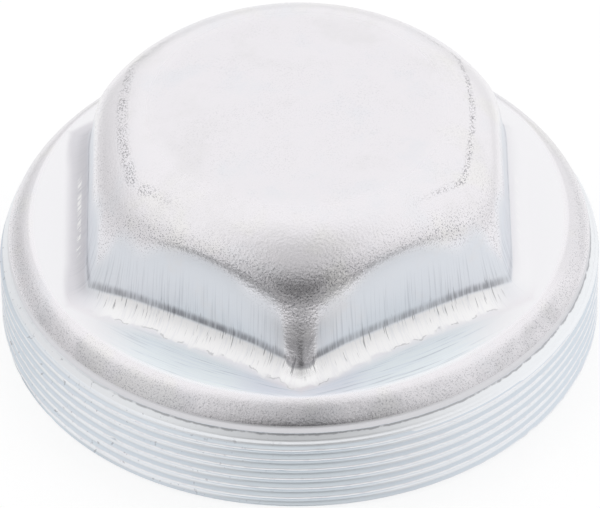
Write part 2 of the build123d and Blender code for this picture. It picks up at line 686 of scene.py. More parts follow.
    def build(self) -> bpy.types.Object:
        """Lays all stretches end to end as one grid, welds its seams and poles, and makes the shell's object.

        Returns:
            The shell, with its masks and its lay, the way round the axis and along the section, as attributes.
        """
        stretches = self.outside()
        stretches += self.inside(stretches[-1][1][-1])
        points = np.concatenate([p for _, p, _ in stretches])
        skins = np.concatenate([np.full(len(p), s.value) for s, p, _ in stretches])[1:]
        mesh = grid_mesh("cap_shell", points, skins)
        for mask in Mask:
            none = FAR if mask in (Mask.RING, Mask.DROP, Mask.EDGE) else 0.0
            values = np.concatenate([m.get(mask, np.full(p.shape[:2], none)) for _, p, m in stretches])
            mesh.attributes.new(mask.value, "FLOAT", "POINT").data.foreach_set("value", values.ravel())
        lay = ring(self.theta, self.lay_share * self.thread_radius, way_along(points))
        mesh.attributes.new("lay", "FLOAT_VECTOR", "POINT").data.foreach_set("vector", lay.ravel())
        weld(mesh, self.weld_distance * MM)
        shell = bpy.data.objects.new("cap_shell", mesh)
        bpy.context.scene.collection.objects.link(shell)
        return shell

    def dress(self, shell: bpy.types.Object) -> None:
        """Gives the shell its three finishes, in the order of the skins, and ties it to the frame.

        Args:
            shell: The shell's object.
        """
        for finish in (DRAWN_PLATE, TURNED_PLATE, HOLLOW_PLATE):
            shell.data.materials.append(finish.material())
        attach(shell, "root")
        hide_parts(NODE)


class Graph:
    """A short way to add and join nodes in a tree."""

    LEAST_LEVEL = 0.02

    def __init__(self, tree: bpy.types.NodeTree) -> None:
        """Starts an empty graph in the tree."""
        self.tree = tree
        tree.nodes.clear()

    def add(
        self, kind: str, inputs: dict[str | int, object] | None = None, **settings: object
    ) -> bpy.types.Node:
        """Adds a node.

        Args:
            kind: The node's type without its ShaderNode prefix.
            inputs: Sockets to link, or values to set, by input name or number.
            **settings: The node's own properties.

        Returns:
            The node.
        """
        node = self.tree.nodes.new("ShaderNode" + kind)
        for name, value in settings.items():
            setattr(node, name, value)
        for name, value in (inputs or {}).items():
            if isinstance(value, Socket):
                self.tree.links.new(value, node.inputs[name])
            else:
                node.inputs[name].default_value = value
        return node

    def math(self, operation: str, first: Value, *others: Value) -> Socket:
        """Values taken together, one after another, by an operation of the Math node.

        Args:
            operation: The operation's name.
            first: The first value.
            *others: The values that follow, none for an operation on one value.

        Returns:
            The result.
        """
        for other in others or (0.0,):
            first = self.add("Math", {0: first, 1: other}, operation=operation).outputs[0]
        return first

    def product(self, a: Value, b: Value, *others: Value) -> Socket:
        """All values multiplied."""
        return self.math("MULTIPLY", a, b, *others)

    def total(self, a: Value, b: Value, *others: Value) -> Socket:
        """All values added."""
        return self.math("ADD", a, b, *others)

    def largest(self, a: Value, b: Value, *others: Value) -> Socket:
        """The largest of the values."""
        return self.math("MAXIMUM", a, b, *others)

    def rest(self, share: Socket) -> Socket:
        """What a share leaves of 1."""
        return self.math("SUBTRACT", 1.0, share)

    def swing(self, noise: Socket, width: float) -> Socket:
        """Noise moved to lie about 0 and multiplied by a width."""
        return self.product(self.math("SUBTRACT", noise, 0.5), width)

    def dimmed(self, level: float, *parts: tuple[Socket, float]) -> Socket:
        """A level less each part's share times its depth, and never under the least level."""
        depths = [self.product(share, depth) for share, depth in parts]
        return self.largest(self.math("SUBTRACT", level, *depths), self.LEAST_LEVEL)

    def ramp(self, value: Socket, low: float, high: float, start: float = 0.0, end: float = 1.0) -> Socket:
        """A smooth ramp of a value from start at low to end at high."""
        inputs = {"Value": value, "From Min": low, "From Max": high, "To Min": start, "To Max": end}
        return self.add("MapRange", inputs, interpolation_type="SMOOTHSTEP").outputs[0]

    def between(self, share: Socket, start: float, end: float) -> Socket:
        """A smooth ramp from start where a share is 0 to end where it is 1."""
        return self.ramp(share, 0.0, 1.0, start, end)

    def band(self, value: Socket, start: float, full: float, fall: float, end: float) -> Socket:
        """A share that rises from start to full and falls again from fall to end."""
        return self.product(self.ramp(value, start, full), self.ramp(value, fall, end, 1.0, 0.0))

    def mix(self, share: Value, a: Socket | Colour, b: Socket | Colour) -> Socket:
        """A mix of two colours by a share of the second."""
        first, second = (c if isinstance(c, Socket) else (*c, 1.0) for c in (a, b))
        # The Mix node has its colours at inputs 6 and 7 and at output 2
        return self.add("Mix", {0: share, 6: first, 7: second}, data_type="RGBA").outputs[2]

    def coated(self, colour: Socket, *coats: tuple[Value, Socket | Colour]) -> Socket:
        """A colour with coats laid over it in turn.

        Args:
            colour: The colour below.
            *coats: Share and colour of each coat, the lowest first.

        Returns:
            The colour on top.
        """
        for share, coat in coats:
            colour = self.mix(share, colour, coat)
        return colour

    def scaled(self, vector: Socket, scale: Scale) -> Socket:
        """A vector with each part multiplied."""
        return self.add("VectorMath", {0: vector, 1: scale}, operation="MULTIPLY").outputs[0]

    def moved(self, vector: Socket, axis: str, way: Socket) -> Socket:
        """A vector moved along one axis."""
        step = self.add("CombineXYZ", {axis: way}).outputs[0]
        return self.add("VectorMath", {0: vector, 1: step}, operation="ADD").outputs[0]

    def parts(self, vector: Socket) -> bpy.types.bpy_prop_collection:
        """A vector's parts, named X, Y and Z."""
        return self.add("SeparateXYZ", {0: vector}).outputs

    def place(self) -> Socket:
        """Object coordinates in millimetres."""
        return self.scaled(self.add("TexCoord").outputs["Object"], (1 / MM, 1 / MM, 1 / MM))

    def noise(self, vector: Socket, scale: float, detail: float = 2.0, roughness: float = 0.5) -> Socket:
        """Noise from 0 to 1 on a vector."""
        inputs = {"Vector": vector, "Scale": scale, "Detail": detail, "Roughness": roughness}
        return self.add("TexNoise", inputs).outputs["Fac"]

    def attribute(self, name: str) -> bpy.types.Node:
        """A node that reads one of the mesh's attributes."""
        return self.add("Attribute", attribute_name=name)

    def mask(self, mask: Mask) -> Socket:
        """One of the shell's masks."""
        return self.attribute(mask.value).outputs["Fac"]

    def group(self, tree: bpy.types.NodeTree, **inputs: Value) -> bpy.types.bpy_prop_collection:
        """Places a node group, its inputs linked or set by name, and gives its outputs."""
        return self.add("Group", inputs, node_tree=tree).outputs


class EffectGraph(Graph):
    """The graph of a shader node group with named sockets."""

    def __init__(self, name: str, **inputs: str) -> None:
        """Starts a group.

        Args:
            name: The group's name.
            **inputs: Socket type of each input, without the NodeSocket prefix.
        """
        super().__init__(bpy.data.node_groups.new(name, "ShaderNodeTree"))
        for label, kind in inputs.items():
            self.tree.interface.new_socket(label, in_out="INPUT", socket_type="NodeSocket" + kind)
        self.given = self.tree.nodes.new("NodeGroupInput").outputs

    def close(self, kind: str, **outputs: Socket) -> bpy.types.NodeTree:
        """Ends the group.

        Args:
            kind: Socket type of the outputs, without the NodeSocket prefix.
            **outputs: What each output gives.

        Returns:
            The finished group.
        """
        for label in outputs:
            self.tree.interface.new_socket(label, in_out="OUTPUT", socket_type="NodeSocket" + kind)
        end = self.tree.nodes.new("NodeGroupOutput")
        for label, value in outputs.items():
            self.tree.links.new(value, end.inputs[label])
        return self.tree


class PlatingEffects:
    """The node groups that the three finishes share, each built when it is first asked for. A noise is given
    by its scale, detail and roughness, and levels of it as a ramp."""

    LILAC_WHITE = (0.872, 0.852, 0.88)
    BLUE_GREY = (0.785, 0.815, 0.865)
    CLOUDS = (0.09, 5.0, 0.65)
    GREY_CLOUD = (0.8, 0.787, 0.8)
    GREY_LEVELS = (0.5, 0.7, 0.0, 0.5)
    BLUE_CLOUD = (0.8, 0.82, 0.86)
    BLUE_LEVELS = (0.5, 0.3, 0.0, 0.4)
    FINE = (2.3, 1.0)
    COARSE = (0.8, 1.0)
    COARSE_SHARE = 0.5
    PITS = (4.3, 1.0)
    PIT_LEVELS = (0.46, 0.34)
    LINES = (1.0, 3.0, 0.6)

    @cached_property
    def tint(self) -> bpy.types.NodeTree:
        """Zinc's colour: lilac white to blue grey by the Cool input, in faint clouds.

        Returns:
            The group, from Place and Cool to Color.
        """
        graph = EffectGraph("plating_tint", Place="Vector", Cool="Float")
        cloud = graph.noise(graph.given["Place"], *self.CLOUDS)
        colour = graph.coated(
            graph.mix(graph.given["Cool"], self.LILAC_WHITE, self.BLUE_GREY),
            (graph.ramp(cloud, *self.GREY_LEVELS), self.GREY_CLOUD),
            (graph.ramp(cloud, *self.BLUE_LEVELS), self.BLUE_CLOUD),
        )
        return graph.close("Color", Color=colour)

    @cached_property
    def grain(self) -> bpy.types.NodeTree:
        """The crystalline skin of drawn steel: fine and coarse noise as height, pits where a third is low.

        Returns:
            The group, from Place to Height and Pits.
        """
        graph = EffectGraph("drawn_grain", Place="Vector")
        noises = (self.FINE, self.COARSE, self.PITS)
        fine, coarse, holes = (graph.noise(graph.given["Place"], *n) for n in noises)
        height = graph.total(graph.product(coarse, self.COARSE_SHARE), fine)
        return graph.close("Float", Height=height, Pits=graph.ramp(holes, *self.PIT_LEVELS))

    @cached_property
    def streaks(self) -> bpy.types.NodeTree:
        """Fine lines along the section or round the axis: noise on a lay that is already drawn out."""
        graph = EffectGraph("tool_streaks", Lay="Vector")
        return graph.close("Float", Line=graph.noise(graph.given["Lay"], *self.LINES))


EFFECTS = PlatingEffects()


@dataclass(frozen=True)
class Ground:
    """What each finish starts from in its material: the graph, the place in millimetres, the lay round the
    axis and along the section, the grain's height and pits, and the fine lines."""

    graph: Graph
    place: Socket
    lay: Socket
    height: Socket
    pits: Socket
    streak: Socket

    def tint(self, cool: Value) -> Socket:
        """Zinc's colour, as cool as given."""
        return self.graph.group(EFFECTS.tint, Place=self.place, Cool=cool)["Color"]


@dataclass(frozen=True)
class PlatedFinish:
    """Zinc plating over one way of working the steel, as the hollow has it: dull, with a little grain and a
    few streaks. Heights are millimetres."""

    name: str
    roughness: float
    grain_height: float
    streak_scale: Scale
    streak_height: float

    COOL = 0.6
    # A dull grey for the hollow; the drawn skin's own colour under this name is painted shade
    DULL_AND_SHADE = (0.5, 0.5, 0.5)
    DULL_SHARE = 0.4

    def material(self) -> bpy.types.Material:
        """The finish as a material that reads the shell's object coordinates, lay and masks.

        Returns:
            The material.
        """
        made = bpy.data.materials.new(self.name)
        made.use_nodes = True
        graph = Graph(made.node_tree)
        place, lay = graph.place(), graph.attribute("lay").outputs["Vector"]
        grain = graph.group(EFFECTS.grain, Place=place)
        streak = graph.group(EFFECTS.streaks, Lay=graph.scaled(lay, self.streak_scale))["Line"]
        colour, height, rough = self.surface(Ground(graph, place, lay, grain["Height"], grain["Pits"], streak))
        bump = graph.add("Bump", {"Strength": 1.0, "Distance": MM, "Height": height})
        shader = graph.add(
            "BsdfPrincipled",
            {"Base Color": colour, "Metallic": 1.0, "Roughness": rough, "Normal": bump.outputs["Normal"]},
        )
        graph.add("OutputMaterial", {"Surface": shader.outputs["BSDF"]})
        return made

    def relief(self, ground: Ground, lines: Value = 1.0, grains: Value = 1.0) -> Socket:
        """The height of streaks and grain together.

        Args:
            ground: What the finish starts from.
            lines: Share of the streaks.
            grains: Share of the grain.

        Returns:
            The height in millimetres.
        """
        streaks = ground.graph.product(ground.streak, lines, self.streak_height)
        return ground.graph.total(streaks, ground.graph.product(ground.height, grains, self.grain_height))

    def surface(self, ground: Ground) -> tuple[Socket, Socket, Value]:
        """Base colour, height and roughness of this skin."""
        colour = ground.graph.coated(ground.tint(self.COOL), (self.DULL_SHARE, self.DULL_AND_SHADE))
        return colour, self.relief(ground), self.roughness


class DrawnMarks:
    """The marks on the drawn skin, each a share from 0 to 1 in one material's graph.

    A ramp has two numbers, where it starts and ends, and two more if it doesn't go from 0 to 1. A band has
    four, where it starts, is full, falls and ends. They are millimetres along X or Y, below the top of the
    foot fillet, outside the ledge's edge or outside the ring of cracks, shares of a mask, or levels of noise.
    A comb begins with its noise's scale on the lay. A pair such as CREASE_RIGHT says what the mark goes from
    and to on the way to that place.
    """

    # Places on the cap
    WORKED = (34.0, 29.0)
    AMID = (33.0, 22.0)
    SIDES = (17.0, 26.0)
    LENS = (5.0, 13.0)
    RIGHT = (-4.0, 12.0)
    FRONT = (-6.0, -24.0)
    BESIDE = (-23.0, -17.0)
    MIDWAY = (-14.0, -8.0, 7.0, 10.0)

    # Noises that several marks share, by scale and detail, and how far one sways an edge
    WANDER = (0.45, 3.0)
    PATCH = (0.13, 2.0)
    SWAY = 3.0

    # Crease with its painted shade, hair lines and streaks at the foot of the flats
    CREASE = (-0.9, 0.4, 0.65, 1.1)
    CREASE_FLAT = (0.05, 0.5, 0.1, 1.0)
    CREASE_WORKED = (0.34, 0.75)
    CREASE_RIGHT = (1.0, 0.75)
    CREASE_COMB = ((3.0, 3.0, 0.2), 0.35, 0.6, 0.55, 1.0)
    CREASE_PATCH = (0.36, 0.6, 0.65, 1.0)
    HAIRS = (-2.0, 0.7, 2.0, 4.2)
    HAIR_COMB = ((4.0, 4.0, 0.3), 0.62, 0.7, 0.0, 0.6)
    STREAKS = (-9.0, -3.0)

    # Painted highlight on the fillet's burnished band and on the right fillet, and bright ledge
    HIGHLIGHT_TOP = (0.8, 1.4)
    HIGHLIGHT_FOOT = (4.5, 5.2, 1.0, 0.0)
    FOOT_LINE = (4.5, 4.7, 4.75, 4.95)
    FOOT_LINE_COMB = ((0.5, 0.5, 0.1), 0.48, 0.58, 0.0, 0.35)
    LEDGE = (4.5, 6.5)
    TURNED_SCALE = (0.1, 0.1, 0.0)
    TURNED_ACROSS = 2.0

    # Ring of cracks round the crown
    CRACKS = (-1.3, -0.2, 0.2, 1.3)
    CRACK_COMB = ((1.6, 1.6, 4.0), 0.54, 0.64)
    CRACK_WANDER = (0.28, 0.52)
    CRACK_RIGHT = (1.0, 1.8)

    # Grey lower shoulder, painted shade on the corners and in the front corner
    SHOULDER = (0.4, 2.2)
    SHOULDER_PATCH = (0.38, 0.6, 0.22, 0.48)
    BRINK = (-0.3, 0.2, 2.0, 6.0)
    BRINK_FRONT = (0.2, 0.0)
    CORNER = (-12.0, -6.0, -0.5, 1.0)
    CORNER_FRONT = (1.0, 0.1)
    # Painted shade in the front corner and on the lip at its foot
    FUNNEL = (-4.5, -2.5, 0.4, 1.4)
    FUNNEL_SHARE = 0.3
    FUNNEL_FLAT = (0.0, 0.5, 1.0, 0.0)
    LIP = (0.2, 0.8, 1.1, 1.7)
    LIP_SHARE = 0.65
    BOW = (-0.36, 0.035)

    # Specks in the grain, and on the brow in front painted dark reflection
    SPECK_SHOULDER = 0.36
    SPECK_LEFT = (0.4, 0.0)
    SPECK_FRONT = 0.65
    SPECK_BROW = (-17.0, -11.0, -7.0, -3.0)
    SPECK_EDGE = (0.1, 0.3, 0.5, 0.8)
    SPECK_WALL = (0.0, -1.0, 0.0, 0.6)
    SPECK_CROWN = (-18.0, -24.0, 0.0, 0.8)
    SPECK_PATCH = (0.4, 0.65, 0.04, 0.16)

    # Strip of painted shade beside the hexagon, and nicks painted white as glints
    # Painted shade along the foot of the left flat, little on the right
    STRIP = (0.5, 2.0, 5.5, 7.0)
    STRIP_RIGHT = (0.8, 0.0)
    NICKS = (2.8, 3.2, 3.6, 4.0)
    NICK_SCALE = (2.0, 2.0, 0.4)
    NICK_SLANT = 1.6
    NICK_LEVELS = (0.51, 0.57)
    NICK_RIGHT = (1.0, 0.4)

    def __init__(self, graph: Graph, place: Socket, lay: Socket) -> None:
        """Reads the shell's masks and the places and noises that several marks share.

        Args:
            graph: The material's graph.
            place: Object coordinates in millimetres.
            lay: The lay round the axis and along the section.
        """
        self.graph, self.lay = graph, lay
        self.grainy, self.flat = graph.mask(Mask.GRAIN), graph.mask(Mask.FLAT)
        self.drop, self.away, self.edge = (graph.mask(m) for m in (Mask.DROP, Mask.RING, Mask.EDGE))
        self.wander, self.patch = (graph.noise(place, *n) for n in (self.WANDER, self.PATCH))
        self.uneven = graph.total(self.drop, graph.swing(self.wander, self.SWAY))
        parts = graph.parts(place)
        aside = graph.math("ABSOLUTE", parts["X"])
        spans = (self.WORKED, self.AMID, self.SIDES, self.LENS)
        self.worked, self.amid, self.sides, self.lens = (graph.ramp(aside, *s) for s in spans)
        self.right, self.front = graph.ramp(parts["X"], *self.RIGHT), graph.ramp(parts["Y"], *self.FRONT)
        self.beside = graph.product(graph.rest(self.worked), graph.ramp(parts["Y"], *self.BESIDE))
        self.midway = graph.band(parts["Y"], *self.MIDWAY)
        near, far = self.BOW
        bow = graph.total(graph.product(aside, near), graph.product(aside, aside, aside, aside, far))
        self.bowed = graph.total(self.drop, bow)

    def comb(self, scale: Scale, *levels: float) -> Socket:
        """Noise on the lay, drawn out by a scale and ramped by its levels."""
        return self.graph.ramp(self.graph.noise(self.graph.scaled(self.lay, scale), 1.0, 1.0), *levels)

    def crease_shade(self) -> Socket:
        """Painted shade, dark and patchy, in the crease where the flats meet their fillet, weak at the corners
        and on the side flats.

        Returns:
            The share.
        """
        graph = self.graph
        side = graph.product(
            graph.between(self.worked, *self.CREASE_WORKED), graph.between(self.right, *self.CREASE_RIGHT)
        )
        broken_shade = graph.product(self.comb(*self.CREASE_COMB), graph.ramp(self.patch, *self.CREASE_PATCH))
        line = graph.product(graph.band(self.drop, *self.CREASE), graph.ramp(self.flat, *self.CREASE_FLAT))
        return graph.product(line, side, broken_shade)

    def hairs(self) -> Socket:
        """Short dark hair lines across the crease and the fillet."""
        row = self.graph.band(self.uneven, *self.HAIRS)
        return self.graph.product(self.comb(*self.HAIR_COMB), row, self.worked)

    def burnished_highlight(self) -> Socket:
        """The painted white highlight on the fillet's burnished band, with an uneven lower edge."""
        foot = self.graph.ramp(self.uneven, *self.HIGHLIGHT_FOOT)
        return self.graph.product(self.graph.ramp(self.drop, *self.HIGHLIGHT_TOP), foot, self.worked)

    def foot_line(self) -> Socket:
        """A broken dark line along the white band's lower edge."""
        row = self.graph.band(self.uneven, *self.FOOT_LINE)
        return self.graph.product(row, self.comb(*self.FOOT_LINE_COMB), self.worked)

    def ledge(self) -> Socket:
        """The bright ledge between the fillet and the grainy shoulder, and a painted highlight on the fillet
        on the right.

        Returns:
            The share.
        """
        graph = self.graph
        # Painted highlight on the fillet on the right
        fillet = graph.product(graph.ramp(self.drop, *self.HIGHLIGHT_TOP), self.beside, self.right)
        bright = graph.largest(graph.ramp(self.drop, *self.LEDGE), fillet)
        return graph.product(bright, graph.rest(self.grainy))

    def turned(self) -> Socket:
        """Noise in fine lines on the ledge, which run between the fillet's foot and the ledge's edge.

        Returns:
            The noise.
        """
        graph = self.graph
        across = graph.product(graph.total(self.drop, self.edge), self.TURNED_ACROSS)
        return graph.noise(graph.moved(graph.scaled(self.lay, self.TURNED_SCALE), "Z", across), 1.0, 2.0)

    def cracks(self, pits: Socket) -> Socket:
        """Short dashes and pits on the ring where the crown meets the dome's edge, thinner on the right.

        Args:
            pits: The grain's pits.

        Returns:
            The share.
        """
        graph = self.graph
        dash = graph.largest(self.comb(*self.CRACK_COMB), pits)
        away = graph.product(self.away, graph.between(self.right, *self.CRACK_RIGHT))
        ragged = graph.product(graph.ramp(self.wander, *self.CRACK_WANDER), self.sides)
        return graph.product(graph.band(away, *self.CRACKS), dash, ragged)

    def shoulder(self) -> Socket:
        """A darker grey on the lower shoulder in front, and a faint grey on its brink at the sides.

        Returns:
            The share.
        """
        graph = self.graph
        patchy = graph.ramp(self.patch, *self.SHOULDER_PATCH)
        # Darker grey down the shoulder, in front only and in patches
        worn = graph.product(graph.ramp(self.edge, *self.SHOULDER), self.front, patchy)
        brink = graph.product(graph.band(self.edge, *self.BRINK), graph.between(self.front, *self.BRINK_FRONT))
        return graph.product(self.grainy, graph.largest(worn, brink))

    def corner(self) -> Socket:
        """Painted shade on the wall of the corners under the dome's edge, hardly there in front."""
        fading = self.graph.between(self.front, *self.CORNER_FRONT)
        return self.graph.product(self.grainy, self.graph.band(self.drop, *self.CORNER), fading)

    def funnel_shade(self) -> Socket:
        """Painted shade on the wall of the front corner, darker on a lip at its foot.

        Returns:
            The share.
        """
        graph = self.graph
        wall = graph.product(graph.band(self.bowed, *self.FUNNEL), self.FUNNEL_SHARE)
        lip_shade = graph.product(graph.band(self.bowed, *self.LIP), self.LIP_SHARE)
        bare = graph.ramp(self.flat, *self.FUNNEL_FLAT)
        foot = graph.ramp(self.drop, *self.FUNNEL[:2])
        return graph.product(graph.largest(wall, lip_shade), bare, foot, self.front)

    def specks_and_dark_reflection(self) -> Socket:
        """How thick the dark specks lie: most on the brow in front and on the left, on the shoulder and on the
        edge of the side flats, and a few in all grain and on the crown. On the brow in front they also stand
        for painted dark reflection in the grain.

        Returns:
            The share.
        """
        graph = self.graph
        shoulder = graph.product(self.grainy, graph.ramp(self.edge, *self.SHOULDER), self.SPECK_SHOULDER)
        left = graph.product(graph.between(self.right, *self.SPECK_LEFT), self.sides)
        # In front the specks are painted dark reflection in the grain
        brow = graph.largest(graph.product(self.front, self.SPECK_FRONT), left)
        brow = graph.product(graph.band(self.drop, *self.SPECK_BROW), brow, self.grainy)
        edge = graph.product(graph.band(self.flat, *self.SPECK_EDGE), self.beside)
        edge = graph.product(edge, graph.ramp(self.drop, *self.SPECK_WALL))
        crown = graph.ramp(self.drop, *self.SPECK_CROWN)
        few = graph.product(graph.largest(self.grainy, crown), graph.ramp(self.patch, *self.SPECK_PATCH))
        return graph.total(graph.largest(few, edge), graph.largest(brow, shoulder))

    def strip(self) -> Socket:
        """Painted shade in a strip along the foot of the left flat."""
        strip = self.graph.product(self.graph.band(self.drop, *self.STRIP), self.beside)
        return self.graph.product(strip, self.graph.between(self.right, *self.STRIP_RIGHT))

    def nicks(self) -> Socket:
        """Nicks along the foot of the side flats, painted white as glints, fainter on the right.

        Returns:
            The share.
        """
        graph = self.graph
        row = graph.product(graph.band(self.drop, *self.NICKS), self.beside, self.midway)
        slant = graph.product(self.drop, self.NICK_SLANT)
        cuts = graph.noise(graph.moved(graph.scaled(self.lay, self.NICK_SCALE), "Y", slant), 1.0, 1.0)
        faint = graph.between(self.right, *self.NICK_RIGHT)
        return graph.product(graph.ramp(cuts, *self.NICK_LEVELS), row, faint)


class DrawnFinish(PlatedFinish):
    """The drawn skin outside: grain on the dome's edge, corners and shoulder, streaked flats, painted shade in
    the crease at their foot with hair marks across it, a painted highlight on the fillet's burnished band, a
    bright ledge, and painted shade on the corners, the front corner and a strip on the left."""

    STRAW = (0.88, 0.875, 0.8)
    # Painted shade on the corners and on the strip at the foot of the left flat
    DULL_AND_SHADE = (0.7, 0.69, 0.725)
    # Darker grey on the lower shoulder in front
    SHOULDER_GREY = (0.45, 0.45, 0.47)
    # Dark pits and specks, painted shade in the front corner and painted dark reflection on the brow
    DARK_PITS_AND_SHADE = (0.3, 0.3, 0.33)
    DARKER = (0.2, 0.2, 0.22)
    # Painted shade in the crease at the foot of the flats
    CREASE_SHADE = (0.14, 0.14, 0.16)
    STREAK = (0.45, 0.47, 0.52)
    # The ledge's pale colour, and the painted highlight on the right fillet
    LEDGE = (0.915, 0.91, 0.93)
    LENS_MIDDLE = (0.84, 0.865, 0.93)
    LENS_ENDS = (0.93, 0.985, 1.0)
    TURNED_BLUE = (0.78, 0.84, 0.92)
    TURNED_DARK = (0.4, 0.42, 0.46)
    # Painted highlight on the fillet's band and painted glints on the nicks
    HIGHLIGHT_WHITE = (0.97, 0.965, 0.97)

    # Shares of the coats, and ramps of noise as for the marks
    # A cool tint and painted shade on the corners, which bring them to the flats' colour
    CORNER_COOL = 0.8
    CORNER_SHADE = 0.3
    CRACK_SHARE = 0.65
    LENS_SHARE = 0.9
    LEAST_GRAIN = 0.1
    STRAW_LEVELS = (0.52, 0.68, 0.0, 0.25)
    STREAK_LEVELS = (0.5, 0.68, 0.0, 0.36)
    BLUE_LEVELS = (0.45, 0.6, 0.0, 0.35)
    DARK_LEVELS = (0.6, 0.68, 0.0, 0.35)
    WHITE_LEVELS = (0.36, 0.5, 0.6, 1.0)
    SMOOTH_LEVELS = (0.0, 0.6, 1.0, 0.5)
    CHATTER_SCALE = (3.2, 3.2, 0.3)
    CHATTER_HEIGHT = 0.012

    def surface(self, ground: Ground) -> tuple[Socket, Socket, Value]:
        """The drawn skin, its marks laid on as coats.

        Args:
            ground: What the finish starts from.

        Returns:
            Base colour, height and roughness.
        """
        graph, pits = ground.graph, ground.pits
        marks = DrawnMarks(graph, ground.place, ground.lay)
        burnished_highlight, ledge, corner, turned = marks.burnished_highlight(), marks.ledge(), marks.corner(), marks.turned()
        chatter = graph.noise(graph.scaled(ground.lay, self.CHATTER_SCALE), 1.0, 2.0)
        low = graph.product(marks.flat, graph.ramp(marks.drop, *marks.STREAKS))
        near = graph.product(ledge, marks.front, marks.amid)
        white = graph.product(burnished_highlight, graph.ramp(chatter, *self.WHITE_LEVELS))

        colour = graph.coated(
            ground.tint(graph.largest(marks.flat, graph.product(corner, self.CORNER_COOL))),
            (graph.product(marks.grainy, graph.ramp(marks.patch, *self.STRAW_LEVELS)), self.STRAW),
            # Painted shade on the corners and along the left strip
            (graph.largest(graph.product(corner, self.CORNER_SHADE), marks.strip()), self.DULL_AND_SHADE),
            # Darker grey on the lower shoulder in front
            (marks.shoulder(), self.SHOULDER_GREY),
            # Pits and specks, and painted dark reflection on the brow in front
            (graph.product(pits, marks.specks_and_dark_reflection()), self.DARK_PITS_AND_SHADE),
            (graph.product(marks.cracks(pits), self.CRACK_SHARE), self.DARKER),
            (graph.product(graph.ramp(ground.streak, *self.STREAK_LEVELS), low), self.STREAK),
            # Bright ledge, and painted highlight on the right fillet
            (ledge, self.LEDGE),
            (graph.product(near, self.LENS_SHARE), graph.mix(marks.lens, self.LENS_MIDDLE, self.LENS_ENDS)),
            (graph.product(graph.ramp(turned, *self.BLUE_LEVELS), near), self.TURNED_BLUE),
            (graph.product(graph.ramp(turned, *self.DARK_LEVELS), near), self.TURNED_DARK),
            # Painted highlight on the fillet's band and painted glints on the nicks
            (graph.largest(white, marks.nicks()), self.HIGHLIGHT_WHITE),
            # Painted shade in the front corner
            (marks.funnel_shade(), self.DARK_PITS_AND_SHADE),
            # Painted shade in the crease
            (marks.crease_shade(), self.CREASE_SHADE),
            (graph.largest(marks.hairs(), marks.foot_line()), self.DARKER),
        )
        height = self.relief(ground, low, graph.largest(marks.grainy, self.LEAST_GRAIN))
        height = graph.total(height, graph.product(chatter, burnished_highlight, self.CHATTER_HEIGHT))
        return colour, height, graph.product(graph.ramp(marks.grainy, *self.SMOOTH_LEVELS), self.roughness)


